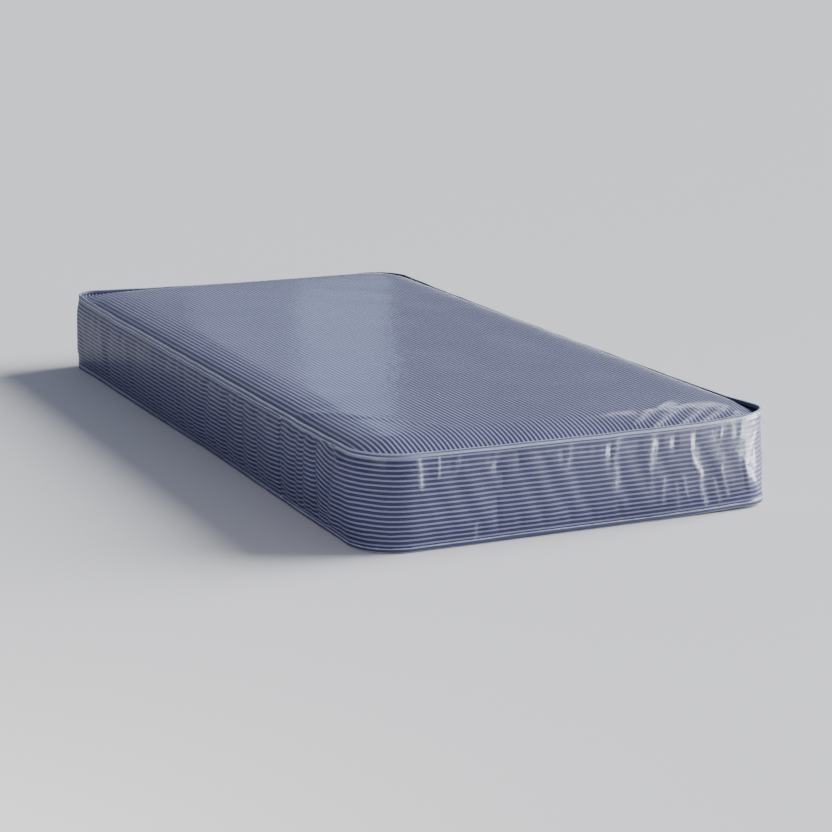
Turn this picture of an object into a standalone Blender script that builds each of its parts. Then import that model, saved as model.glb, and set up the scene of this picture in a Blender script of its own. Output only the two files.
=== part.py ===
"""Pressure relief mattress: a tape-edged, sewn-closed ticking cover over a zoned foam core.

X is the width, Y the length with the head end at +Y, and Z is up.
The origin lies on the floor, under the middle of the mattress.
"""
import math

import bmesh
import bpy

# Overall sizes.
LENGTH = 1.900
WIDTH = 0.900
RIM_TOP = 0.190
CORNER_RADIUS = 0.090
CORNER_STEPS = 8
BORDER_BULGE = 0.006
BORDER_LEVELS = 6

# Cover.
TICKING = 0.0012
TAPE = 0.0010
TAPE_HEIGHT = 0.014
THREAD = 0.0010
GAP = 0.0003
TAPE_LEG_BOTTOM = RIM_TOP - 0.009
BASE_TAPE_BOTTOM = 0.0005
SEAM_Y = -0.520
SEAM_WIDTH = 0.020

# The cover's panels: each starts at the bottom of a flange that is sewn into the tape.
PANEL_INSET = TICKING + GAP + TICKING
CROWN_EDGE = 0.178
CROWN_RISE = 0.031
CROWN_REACH = 0.035
BASE_LIFT = 0.012
BASE_REACH = 0.030
RING_INSETS = (0.010, 0.020, 0.035, 0.055, 0.085)

# Inside the border: wadding, then the side of the fire barrier, then the foam.
WADDING_INSET = TICKING + GAP
WADDING_END = 0.0055
WADDING_LOW = TAPE_HEIGHT + GAP
WADDING_HIGH = CROWN_EDGE - 0.010
BARRIER = 0.0008
CORE_INSET = WADDING_END + GAP + BARRIER + GAP

# Heights inside, from the base up.
FLAT_INSET = 0.038
FELT_BOTTOM = TICKING + 2 * GAP
FELT = 0.0030
BASE_BARRIER_BOTTOM = FELT_BOTTOM + FELT + GAP
SLAB_BOTTOM = BASE_BARRIER_BOTTOM + BARRIER + GAP
SLAB_TOP = 0.0710
INSERT_TOP = 0.1360
CASTELLATION_DEPTH = 0.040
SLOT = 0.005
TOPPER_DROP = 0.0106
TOP_BARRIER_DROP = 0.0092
FIBRE_PAD_DROP = 0.0024
FIBRE_PAD = 0.0060

# Foam zones, from the head end: name, length, blocks across, blocks along.
ZONES = (
    ("head_zone_foam", 0.400, 7, 4),
    ("torso_zone_foam", 0.780, 8, 8),
    ("heel_zone_foam", 0.528, 10, 6),
)

RIM_HALF_X = WIDTH / 2 - BORDER_BULGE
RIM_HALF_Y = LENGTH / 2 - BORDER_BULGE
INSERT_HALF_X = RIM_HALF_X - CORNER_RADIUS
INSERT_HALF_Y = RIM_HALF_Y - CORNER_RADIUS

NAVY_TICKING = ("navy_ticking", (0.070, 0.085, 0.165), 0.35)
TAPE_CLOTH = ("tape_cloth", (0.310, 0.340, 0.520), 0.45)
SEWING_THREAD = ("sewing_thread", (0.055, 0.065, 0.130), 0.60)
POLYESTER_WADDING = ("polyester_wadding", (0.800, 0.800, 0.780), 0.90)
BARRIER_CLOTH = ("barrier_cloth", (0.740, 0.720, 0.660), 0.85)
FELT_PAD = ("felt_pad", (0.330, 0.340, 0.350), 0.95)
VISCO_FOAM = ("visco_foam", (0.780, 0.740, 0.560), 0.80)
HEAD_FOAM = ("head_foam", (0.420, 0.600, 0.700), 0.85)
TORSO_FOAM = ("torso_foam", (0.620, 0.660, 0.420), 0.85)
HEEL_FOAM = ("heel_foam", (0.760, 0.520, 0.420), 0.85)
FIRM_FOAM = ("firm_foam", (0.300, 0.380, 0.480), 0.85)
BASE_FOAM = ("base_foam", (0.640, 0.640, 0.620), 0.85)


def clear_scene():
    """Remove every object that the file starts with."""
    for old in list(bpy.data.objects):
        bpy.data.objects.remove(old, do_unlink=True)


def new_collection(name):
    """Make a collection in the scene."""
    collection = bpy.data.collections.new(name)
    bpy.context.scene.collection.children.link(collection)
    return collection


def material(look):
    """Return the material for a (name, colour, roughness) look, making it once."""
    name, colour, roughness = look
    found = bpy.data.materials.get(name)
    if found:
        return found
    made = bpy.data.materials.new(name)
    made.use_nodes = True
    made.diffuse_color = (*colour, 1.0)
    shader = made.node_tree.nodes["Principled BSDF"]
    shader.inputs["Base Color"].default_value = (*colour, 1.0)
    shader.inputs["Roughness"].default_value = roughness
    shader.inputs["Metallic"].default_value = 0.0
    return made


def add_object(name, data, look, collection):
    """Put a mesh or curve in a collection as a named object with its material."""
    made = bpy.data.objects.new(name, data)
    data.materials.append(material(look))
    collection.objects.link(made)
    return made


def corner_arc(corner, inset):
    """Points of one rounded corner; corner 0 is at +X -Y, and they go counter-clockwise."""
    side_x = (1, 1, -1, -1)[corner]
    side_y = (-1, 1, 1, -1)[corner]
    radius = CORNER_RADIUS - inset
    points = []
    for step in range(CORNER_STEPS + 1):
        angle = (corner - 1 + step / CORNER_STEPS) * math.pi / 2
        x = side_x * INSERT_HALF_X + radius * math.cos(angle)
        y = side_y * INSERT_HALF_Y + radius * math.sin(angle)
        points.append((x, y))
    return points


def rounded_rectangle(inset):
    """The rim's outline, counter-clockwise, moved in by inset."""
    return [point for corner in range(4) for point in corner_arc(corner, inset)]


def poly_curve(name, points, cyclic, dimensions):
    """A curve of straight segments through points of two or three numbers."""
    curve = bpy.data.curves.new(name, "CURVE")
    curve.dimensions = dimensions
    spline = curve.splines.new("POLY")
    spline.points.add(len(points) - 1)
    for spline_point, point in zip(spline.points, points):
        spline_point.co = (*point, *(0.0,) * (3 - len(point)), 1.0)
    spline.use_cyclic_u = cyclic
    return curve


def sweep(name, profile, look, path=None):
    """Sweep a closed (outward, height) profile, listed clockwise, along a path.

    Without a path it goes round the rim's outline and closes on itself.
    """
    guide_curve = poly_curve(name + "_profile", profile, True, "2D")
    guide = bpy.data.objects.new(name + "_profile", guide_curve)
    guide.hide_render = True
    guide.display_type = "WIRE"
    guides.objects.link(guide)
    curve = poly_curve(name, path or rounded_rectangle(0.0), path is None, "3D")
    curve.twist_mode = "Z_UP"
    curve.bevel_mode = "OBJECT"
    curve.bevel_object = guide
    curve.use_fill_caps = path is not None
    return add_object(name, curve, look, parts)


def plate(name, outline, bottom, top, look):
    """A flat piece with the given outline between two heights."""
    curve = poly_curve(name, outline, True, "2D")
    curve.fill_mode = "BOTH"
    curve.extrude = (top - bottom) / 2
    made = add_object(name, curve, look, parts)
    made.location.z = (top + bottom) / 2
    return made


def block(name, low, high, look):
    """A rectangular piece between two corners."""
    mesh = bpy.data.meshes.new(name)
    cage = bmesh.new()
    bmesh.ops.create_cube(cage, size=1.0)
    for vert in cage.verts:
        for axis in range(3):
            vert.co[axis] = high[axis] if vert.co[axis] > 0 else low[axis]
    cage.to_mesh(mesh)
    cage.free()
    return add_object(name, mesh, look, parts)


def crown_height(inset):
    """Height of the top panel's outer face at a distance in from the rim."""
    return CROWN_EDGE + CROWN_RISE * (1 - math.exp(-(inset - PANEL_INSET) / CROWN_REACH))


def base_height(inset):
    """Height of the base panel's outer face, which rolls up to the base tape."""
    reach = min((inset - PANEL_INSET) / BASE_REACH, 1.0)
    return BASE_LIFT * (1 - reach * reach * (3 - 2 * reach))


def shaped_sheet(inset, height, drop=0.0):
    """An open sheet over the outline at an inset, lifted ring by ring to height(inset)."""
    sheet = bmesh.new()
    start = height(inset) - drop
    loop = [sheet.verts.new((x, y, start)) for x, y in rounded_rectangle(inset)]
    middle = sheet.faces.new(loop)
    middle.normal_update()
    last_inset = inset
    last_height = start
    for ring_inset in RING_INSETS:
        if ring_inset <= inset:
            continue
        ring_height = height(ring_inset) - drop
        bmesh.ops.inset_region(
            sheet,
            faces=[middle],
            use_boundary=True,
            thickness=ring_inset - last_inset,
            depth=ring_height - last_height,
            use_even_offset=True,
        )
        last_inset = ring_inset
        last_height = ring_height
    return sheet


def finish_mesh(name, shape, look):
    """Store a bmesh as a named part."""
    mesh = bpy.data.meshes.new(name)
    shape.to_mesh(mesh)
    shape.free()
    mesh.shade_smooth()
    mesh.set_sharp_from_angle(angle=math.radians(35))
    return add_object(name, mesh, look, parts)


def moved_copy(shape, place):
    """Close an open sheet into a solid: extrude it and move each new point with place."""
    copied = bmesh.ops.extrude_face_region(shape, geom=shape.faces[:])["geom"]
    for item in copied:
        if isinstance(item, bmesh.types.BMVert):
            item.co.z = place(item.co.z)
    bmesh.ops.recalc_face_normals(shape, faces=shape.faces[:])


def crowned_layer(name, drop, thickness, look):
    """A layer of even height that lies a drop below the top panel's outer face."""
    shape = shaped_sheet(CORE_INSET, crown_height, drop)
    moved_copy(shape, lambda z: z - thickness)
    return finish_mesh(name, shape, look)


def cover_panel(name, height, flange_end, facing):
    """A panel of ticking whose edge turns into a flange; facing is 1 upwards, -1 downwards."""
    shape = shaped_sheet(PANEL_INSET, height)
    rim = [edge for edge in shape.edges if edge.is_boundary]
    flange = bmesh.ops.extrude_edge_only(shape, edges=rim)["geom"]
    for item in flange:
        if isinstance(item, bmesh.types.BMVert):
            item.co.z = flange_end
    bmesh.ops.recalc_face_normals(shape, faces=shape.faces[:])
    shape.normal_update()
    widest = max(shape.faces, key=lambda face: face.calc_area())
    if widest.normal.z * facing < 0:
        bmesh.ops.reverse_faces(shape, faces=shape.faces[:])
    panel = finish_mesh(name, shape, NAVY_TICKING)
    solidify = panel.modifiers.new("ticking", "SOLIDIFY")
    solidify.thickness = TICKING
    solidify.offset = -1.0
    solidify.use_even_offset = True
    return panel


def border_bulge(height):
    """How far the border stands out of the rim's line at a height between the tapes."""
    low = TAPE_HEIGHT
    high = RIM_TOP - TAPE_HEIGHT
    share = min(max((height - low) / (high - low), 0.0), 1.0)
    return BORDER_BULGE * math.sin(share * math.pi)


def strip_profile(outer_inset, inner_inset, low, high, straight_back=False):
    """Clockwise profile of a strip that follows the border's bulge, or has a straight back."""
    step = (high - low) / BORDER_LEVELS
    heights = [low + step * level for level in range(BORDER_LEVELS + 1)]
    back = [(-inner_inset, z) for z in (low, high)]
    if not straight_back:
        back = [(border_bulge(z) - inner_inset, z) for z in heights]
    front = [(border_bulge(z) - outer_inset, z) for z in reversed(heights)]
    return back + front


def build_cover():
    """Panels, border, edge tapes and their stitching."""
    flange_top = RIM_TOP - TAPE - GAP
    flange_bottom = BASE_TAPE_BOTTOM + TAPE + GAP
    cover_panel("top_panel", crown_height, flange_top, 1)
    cover_panel("base_panel", base_height, flange_bottom, -1)

    heights = [flange_bottom, TAPE_HEIGHT]
    span = RIM_TOP - 2 * TAPE_HEIGHT
    heights += [TAPE_HEIGHT + span * level / BORDER_LEVELS for level in range(1, BORDER_LEVELS + 1)]
    heights.append(flange_top)
    back = [(border_bulge(z) - TICKING, z) for z in heights]
    front = [(border_bulge(z), z) for z in reversed(heights)]
    sweep("side_border", back + front, NAVY_TICKING)

    sweep("top_edge_tape", tape_profile(RIM_TOP, -1, TAPE_LEG_BOTTOM), TAPE_CLOTH)
    base_leg_top = BASE_TAPE_BOTTOM + RIM_TOP - TAPE_LEG_BOTTOM
    sweep("base_edge_tape", tape_profile(BASE_TAPE_BOTTOM, 1, base_leg_top), TAPE_CLOTH)

    stitch_offset = TAPE_HEIGHT / 2 + THREAD
    sweep("top_tape_thread", thread_profile(RIM_TOP - stitch_offset), SEWING_THREAD)
    sweep("base_tape_thread", thread_profile(BASE_TAPE_BOTTOM + stitch_offset), SEWING_THREAD)

    allowance = strip_profile(WADDING_INSET, 3 * TICKING, WADDING_LOW, WADDING_HIGH)
    seam_path = [(-RIM_HALF_X, SEAM_Y + SEAM_WIDTH / 2), (-RIM_HALF_X, SEAM_Y - SEAM_WIDTH / 2)]
    sweep("border_join_seam", allowance, NAVY_TICKING, seam_path)


def tape_profile(edge, inward, inner_end):
    """Clockwise U-shaped profile that folds over the rim; inward is the legs' direction."""
    outer = GAP + TAPE
    outer_end = edge + inward * TAPE_HEIGHT
    web = edge + inward * TAPE
    inner_near = -(PANEL_INSET + GAP)
    inner_far = inner_near - TAPE
    points = [
        (inner_far, inner_end),
        (inner_far, edge),
        (outer, edge),
        (outer, outer_end),
        (GAP, outer_end),
        (GAP, web),
        (inner_near, web),
        (inner_near, inner_end),
    ]
    return points if inward < 0 else points[::-1]


def thread_profile(height):
    """Clockwise six-sided profile of a stitching thread that lies on the tape's outer leg."""
    centre = GAP + TAPE + GAP + THREAD / 2
    points = []
    for side in range(6):
        angle = -side * math.pi / 3
        x = centre + THREAD / 2 * math.cos(angle)
        points.append((x, height + THREAD / 2 * math.sin(angle)))
    return points


def build_lining():
    """Fibre, felt and fire-barrier layers between the cover and the foam."""
    wadding = strip_profile(
        WADDING_INSET, WADDING_END, WADDING_LOW, WADDING_HIGH, straight_back=True
    )
    sweep("border_wadding", wadding, POLYESTER_WADDING, wadding_path())
    barrier_outer = -(WADDING_END + GAP)
    barrier_inner = barrier_outer - BARRIER
    barrier = [
        (barrier_inner, WADDING_LOW),
        (barrier_inner, WADDING_HIGH),
        (barrier_outer, WADDING_HIGH),
        (barrier_outer, WADDING_LOW),
    ]
    sweep("fire_barrier_side", barrier, BARRIER_CLOTH)
    crowned_layer("top_fibre_pad", FIBRE_PAD_DROP, FIBRE_PAD, POLYESTER_WADDING)
    crowned_layer("fire_barrier_top", TOP_BARRIER_DROP, BARRIER, BARRIER_CLOTH)
    flat_outline = rounded_rectangle(FLAT_INSET)
    barrier_top = BASE_BARRIER_BOTTOM + BARRIER
    plate("fire_barrier_base", flat_outline, BASE_BARRIER_BOTTOM, barrier_top, BARRIER_CLOTH)
    plate("base_felt_pad", flat_outline, FELT_BOTTOM, FELT_BOTTOM + FELT, FELT_PAD)


def wadding_path():
    """The rim's outline, opened on the left side to leave room for the border's join."""
    room = SEAM_WIDTH / 2 + 0.001
    corners = [corner_arc(corner, 0.0) for corner in (3, 0, 1, 2)]
    points = [point for arc in corners for point in arc]
    return [(-RIM_HALF_X, SEAM_Y - room)] + points + [(-RIM_HALF_X, SEAM_Y + room)]


def build_core():
    """Foam: base slab, bolsters, three castellated zones and the visco-elastic topper."""
    slab = shaped_sheet(CORE_INSET, base_height, -SLAB_BOTTOM)
    moved_copy(slab, lambda z: SLAB_TOP)
    finish_mesh("core_base_slab", slab, BASE_FOAM)

    low = SLAB_TOP + GAP
    left = corner_arc(2, CORE_INSET) + corner_arc(3, CORE_INSET)
    right = [(-x, y) for x, y in reversed(left)]
    plate("side_bolster_left", left, low, INSERT_TOP, FIRM_FOAM)
    plate("side_bolster_right", right, low, INSERT_TOP, FIRM_FOAM)
    end_x = INSERT_HALF_X - GAP
    end_outer = RIM_HALF_Y - CORE_INSET
    end_inner = INSERT_HALF_Y
    block("end_bolster_head", (-end_x, end_inner, low), (end_x, end_outer, INSERT_TOP), FIRM_FOAM)
    block("end_bolster_foot", (-end_x, -end_outer, low), (end_x, -end_inner, INSERT_TOP), FIRM_FOAM)

    zone_top = INSERT_HALF_Y
    for (name, length, across, along), look in zip(ZONES, (HEAD_FOAM, TORSO_FOAM, HEEL_FOAM)):
        castellated_block(name, zone_top - length, zone_top, across, along, low, look)
        zone_top -= length

    topper = shaped_sheet(CORE_INSET, crown_height, TOPPER_DROP)
    moved_copy(topper, lambda z: INSERT_TOP + GAP)
    finish_mesh("visco_topper", topper, VISCO_FOAM)


def castellated_block(name, foot_y, head_y, across, along, low, look):
    """A foam block whose upper part is cut into a grid of separate columns."""
    half_x = INSERT_HALF_X - GAP
    half_y = (head_y - foot_y) / 2 - GAP
    floor = INSERT_TOP - CASTELLATION_DEPTH
    shape = bmesh.new()
    bmesh.ops.create_grid(shape, x_segments=across, y_segments=along, size=1.0)
    for vert in shape.verts:
        vert.co.x *= half_x
        vert.co.y = (head_y + foot_y) / 2 + vert.co.y * half_y
        vert.co.z = floor
    columns = shape.faces[:]
    bmesh.ops.inset_individual(shape, faces=columns, thickness=SLOT / 2, use_even_offset=True)
    raised = bmesh.ops.extrude_discrete_faces(shape, faces=columns)["faces"]
    for vert in {vert for face in raised for vert in face.verts}:
        vert.co.z = INSERT_TOP
    rim = [edge for edge in shape.edges if edge.is_boundary]
    skirt = bmesh.ops.extrude_edge_only(shape, edges=rim)["geom"]
    for item in skirt:
        if isinstance(item, bmesh.types.BMVert):
            item.co.z = low
    underside = [edge for edge in shape.edges if edge.is_boundary]
    bmesh.ops.holes_fill(shape, edges=underside, sides=0)
    bmesh.ops.recalc_face_normals(shape, faces=shape.faces[:])
    mesh = bpy.data.meshes.new(name)
    shape.to_mesh(mesh)
    shape.free()
    return add_object(name, mesh, look, parts)


clear_scene()
parts = new_collection("pressure_relief_mattress")
guides = new_collection("guides")
guides.hide_render = True
build_cover()
build_lining()
build_core()
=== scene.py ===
"""Looks for the pressure relief mattress: coated striped ticking, tape-edged and sewn over a foam core.

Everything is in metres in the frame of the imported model: X across, Y along with the head at +Y, Z up.
"""
import math

import bpy
import numpy as np
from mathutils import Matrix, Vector


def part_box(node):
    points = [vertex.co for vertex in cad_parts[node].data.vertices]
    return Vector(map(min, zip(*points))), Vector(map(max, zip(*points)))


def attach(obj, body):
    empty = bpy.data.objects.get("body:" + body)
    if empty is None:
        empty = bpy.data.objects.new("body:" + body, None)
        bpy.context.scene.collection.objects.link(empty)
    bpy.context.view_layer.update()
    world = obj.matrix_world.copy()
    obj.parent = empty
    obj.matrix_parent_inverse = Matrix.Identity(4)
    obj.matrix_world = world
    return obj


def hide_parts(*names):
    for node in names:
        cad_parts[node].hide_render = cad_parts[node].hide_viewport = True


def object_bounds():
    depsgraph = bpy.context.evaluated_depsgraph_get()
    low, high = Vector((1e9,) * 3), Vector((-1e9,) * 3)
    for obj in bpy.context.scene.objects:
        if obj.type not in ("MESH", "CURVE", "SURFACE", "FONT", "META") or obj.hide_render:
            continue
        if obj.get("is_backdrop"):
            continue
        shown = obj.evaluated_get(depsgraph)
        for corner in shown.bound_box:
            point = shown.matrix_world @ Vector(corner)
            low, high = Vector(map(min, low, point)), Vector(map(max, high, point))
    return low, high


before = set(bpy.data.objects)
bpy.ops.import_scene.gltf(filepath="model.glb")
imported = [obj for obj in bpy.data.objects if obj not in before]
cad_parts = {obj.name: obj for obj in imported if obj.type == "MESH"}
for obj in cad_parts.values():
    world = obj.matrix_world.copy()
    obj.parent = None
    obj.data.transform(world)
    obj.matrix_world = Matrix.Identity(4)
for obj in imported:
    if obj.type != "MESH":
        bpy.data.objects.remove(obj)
cad_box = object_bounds()

# Thicknesses and clearances of the sewn edge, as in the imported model.
GAP = 0.0003
TAPE = 0.0010
TICKING = 0.0012
CORNER_RADIUS = 0.090

# Sizes read from the frame.
tape_low, tape_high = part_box("top_edge_tape")
border_low, border_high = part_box("side_border")
seam_low, seam_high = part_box("border_join_seam")
wadding_low, wadding_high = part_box("border_wadding")
RIM = np.array((tape_high.x - GAP - TAPE, tape_high.y - GAP - TAPE))
RIM_TOP = tape_high.z
TAPE_HEIGHT = tape_high.z - tape_low.z
BASE_TAPE_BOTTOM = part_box("base_edge_tape")[0].z
BORDER_BOTTOM = border_low.z
BORDER_TOP = border_high.z
BULGE = border_high.x - RIM[0]
BARRIER_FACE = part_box("fire_barrier_side")[1].x
SEAM_Y = (seam_low.y + seam_high.y) / 2
INNER = RIM - CORNER_RADIUS
PANEL_INSET = 2 * TICKING + GAP

# The stuffed corners differ a little: near right, far right, far left and near left, looking from the foot.
# The last row is what the middle of the border adds.
TOP_RADII = np.array((0.078, 0.100, 0.052, 0.092))
BASE_RADII = np.array((0.056, 0.090, 0.038, 0.094))
MIDDLE_RADII = np.array((0.024, 0.0, 0.0, 0.0))
PLAIN_RADII = np.full(4, CORNER_RADIUS)

# Fabric.
STRIPE_PITCH = 0.00957
LIGHT_SHARE = 0.36
YARN_PITCH = 0.00080
NAVY = (0.030, 0.031, 0.072)
PALE = (0.265, 0.282, 0.450)
# The border's pale lines are darker than the top's: painted shade on the sides of the same ticking.
SHADED_BORDER_PALE = (0.206, 0.220, 0.362)
# Colour painted along the sharp creases and tucks as a highlight, standing for the coating's glints.
PAINTED_HIGHLIGHT = (0.70, 0.73, 0.91)


# -------- the rim's outline

CORNER_SIGNS = np.array(((1, -1), (1, 1), (-1, 1), (-1, -1)))
QUARTER = CORNER_RADIUS * math.pi / 2
SEAM_SHARE = (INNER[1] - SEAM_Y) / (2 * INNER[1])
KNOT_PLACES = np.array((6 + SEAM_SHARE, 7, 8, 9, 10, 11, 12, 13, 14, 14 + SEAM_SHARE))
SIDE_LENGTHS = np.tile((QUARTER, 2 * INNER[0], QUARTER, 2 * INNER[1]), 2)
SIDE_LENGTHS[7] *= SEAM_SHARE
KNOTS = np.cumsum(np.concatenate([[0, SEAM_Y + INNER[1]], SIDE_LENGTHS]))
RIM_LENGTH = KNOTS[-1]


def outline(place, half, radii):
    """Points and outward normals of a rounded rectangle.

    place runs anticlockwise from 0 to 8: the sides at the foot, right, head and left take every
    other unit from 0, and the corner after each side takes the unit that follows it.
    """
    part = np.floor(place).astype(int) % 8
    share = place - np.floor(place)
    side = part // 2
    turning = part % 2
    facing = (side - 1 + turning * share) * math.pi / 2
    normal = np.stack([np.cos(facing), np.sin(facing)], -1)
    radii = np.broadcast_to(radii, place.shape + (4,))

    def on_corner(corner):
        radius = np.take_along_axis(radii, corner[..., None], -1)
        return CORNER_SIGNS[corner] * (half - radius) + radius * normal

    after = on_corner(side)
    before = on_corner((side - 1) % 4)
    weight = np.where(turning == 1, 1.0, share)[..., None]
    return before + (after - before) * weight, normal


def place_of(distance):
    """The outline's place at a distance along the rim, anticlockwise from the border's join."""
    return np.interp(distance, KNOTS, KNOT_PLACES)


def distance_of(place):
    """The distance along the rim of a place on the outline."""
    return np.interp((place - KNOT_PLACES[0]) % 8 + KNOT_PLACES[0], KNOT_PLACES, KNOTS)


def rim(distance, share):
    """Points and outward normals of the rim; share is 0 at the base and 1 at the top."""
    distance, share = np.broadcast_arrays(np.asarray(distance, float), share)
    share = share[..., None]
    radii = BASE_RADII + (TOP_RADII - BASE_RADII) * share + MIDDLE_RADII * 4 * share * (1 - share)
    return outline(place_of(distance), RIM, radii)


def rim_distance(x, y):
    """The distance along the rim of the point of it that is nearest to (x, y)."""
    distances = np.linspace(0, RIM_LENGTH, 6000, endpoint=False)
    points, _ = rim(distances, 0.5)
    return distances[np.argmin(((points - (x, y)) ** 2).sum(1))]


def around(distance, centre):
    """Signed distance along the closed rim from centre, the short way round."""
    return (distance - centre + RIM_LENGTH / 2) % RIM_LENGTH - RIM_LENGTH / 2


def bump(offset, width):
    """A smooth bump of height 1 with the given half width."""
    return np.exp(-((offset / width) ** 2))


def smooth(value, low, high):
    """0 below low, 1 above high, with a smooth step between."""
    share = np.clip((value - low) / (high - low), 0, 1)
    return share * share * (3 - 2 * share)


def band(value, low, high, soft):
    """1 between low and high, falling to 0 over soft outside each of them."""
    return smooth(value, low - soft, low) * (1 - smooth(value, high, high + soft))


def wobble(value, wavelengths, seed, period=None):
    """A sum of sines with seeded phases, about -1 to 1; it closes on itself if period is given."""
    random = np.random.default_rng(seed)
    total = np.zeros_like(value, float)
    for wavelength in wavelengths:
        phase = random.uniform(0, 2 * math.pi)
        turns = 1 / wavelength if period is None else round(period / wavelength) / period
        total += np.sin(2 * math.pi * turns * value + phase)
    return total / len(wavelengths)


CORNERS = [rim_distance(*(sign * RIM)) for sign in CORNER_SIGNS]
NEAR_RIGHT, FAR_RIGHT, FAR_LEFT, _ = CORNERS
FOOT_MIDDLE = rim_distance(0.0, -RIM[1])

# Where the top tape rises or dips: distance round the rim, height and half width.
TOP_LIFTS = (
    (NEAR_RIGHT, 0.0045, 0.10),
    (FAR_RIGHT, -0.0010, 0.10),
    (FAR_LEFT, 0.0030, 0.08),
    (rim_distance(RIM[0], 0.0), -0.0030, 0.62),
    (rim_distance(-0.30, RIM[1]), 0.0030, 0.16),
    (rim_distance(0.22, RIM[1]), -0.0060, 0.14),
)


def corner_peak(distance):
    """1 at the middle of each corner, falling to 0 along the sides."""
    return sum(bump(around(distance, centre), 0.17) for centre in CORNERS)


def top_lift(distance):
    """How far the top tape stands above its plain height: up at the corners, uneven elsewhere."""
    lift = 0.0040 * corner_peak(distance) - 0.0012
    for centre, height, width in TOP_LIFTS:
        lift = lift + height * bump(around(distance, centre), width)
    return lift + 0.0006 * wobble(distance, (0.31, 0.19, 0.11), 3, RIM_LENGTH)


def base_lift(distance):
    """How far the base tape is drawn up from the floor, at the near right corner."""
    return 0.0050 * bump(around(distance, NEAR_RIGHT - 0.02), 0.16)


def lean(distance, share):
    """How far the rim wanders outwards; the base is drawn in on the left, the far left stuffed out."""
    wander = 0.0008 * wobble(distance, (0.42, 0.23, 0.13), 5, RIM_LENGTH)
    drawn = bump(around(distance, rim_distance(-RIM[0], -0.08)), 0.34)
    stuffed = bump(around(distance, FAR_LEFT), 0.12)
    return wander - 0.0055 * drawn * (1 - share) + 0.0055 * stuffed * (1 - 0.7 * share)


# -------- meshes


def store(name, points, faces, uvs, material):
    """A mesh object with its ticking coordinates (across and along the stripes, in metres)."""
    mesh = bpy.data.meshes.new(name)
    mesh.from_pydata(points.tolist(), [], faces)
    layer = mesh.uv_layers.new(name="ticking")
    layer.data.foreach_set("uv", np.asarray(uvs, np.float32).ravel())
    if material is not None:
        mesh.materials.append(material)
    mesh.shade_smooth()
    piece = bpy.data.objects.new(name, mesh)
    bpy.context.scene.collection.objects.link(piece)
    return piece


def mark(piece, glint_strength):
    """Store how strongly a highlight is painted at each point of a piece, from 0 to 1."""
    glint_mask = piece.data.attributes.new("crease", "FLOAT", "POINT")
    glint_mask.data.foreach_set("value", np.clip(glint_strength, 0, 1).astype(np.float32).ravel())


def grid_piece(name, points, uvs, material, wrap_rows=False, wrap_columns=False, capped=False):
    """A mesh from a (rows, columns, 3) array; a wrapped side's uvs have one more entry."""
    rows, columns = points.shape[:2]
    row = np.arange(rows if wrap_rows else rows - 1)[:, None]
    column = np.arange(columns if wrap_columns else columns - 1)[None, :]
    offsets = ((0, 0), (1, 0), (1, 1), (0, 1))
    corner_rows = np.stack([row + a + 0 * column for a, _ in offsets], -1)
    corner_columns = np.stack([column + b + 0 * row for _, b in offsets], -1)
    indices = (corner_rows % rows) * columns + corner_columns % columns
    faces = indices.reshape(-1, 4).tolist()
    corner_uvs = uvs[corner_rows, corner_columns].reshape(-1, 2)
    if capped:
        last = (rows - 1) * columns
        faces += [list(range(columns))[::-1], list(range(last, last + columns))]
        corner_uvs = np.concatenate([corner_uvs, np.zeros((2 * columns, 2))])
    return store(name, points.reshape(-1, 3), faces, corner_uvs, material)


def give_thickness(piece, thickness):
    """Turn an open sheet into cloth of a real thickness, inwards from its face."""
    solidify = piece.modifiers.new("cloth", "SOLIDIFY")
    solidify.thickness = thickness
    solidify.offset = -1.0
    solidify.use_even_offset = False


def spread(points, normals, outward, height):
    """3-D points from the rim's points and normals, outward offsets and heights."""
    flat = points + normals * outward[..., None]
    return np.concatenate([flat, height[..., None]], -1)


# -------- materials


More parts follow.
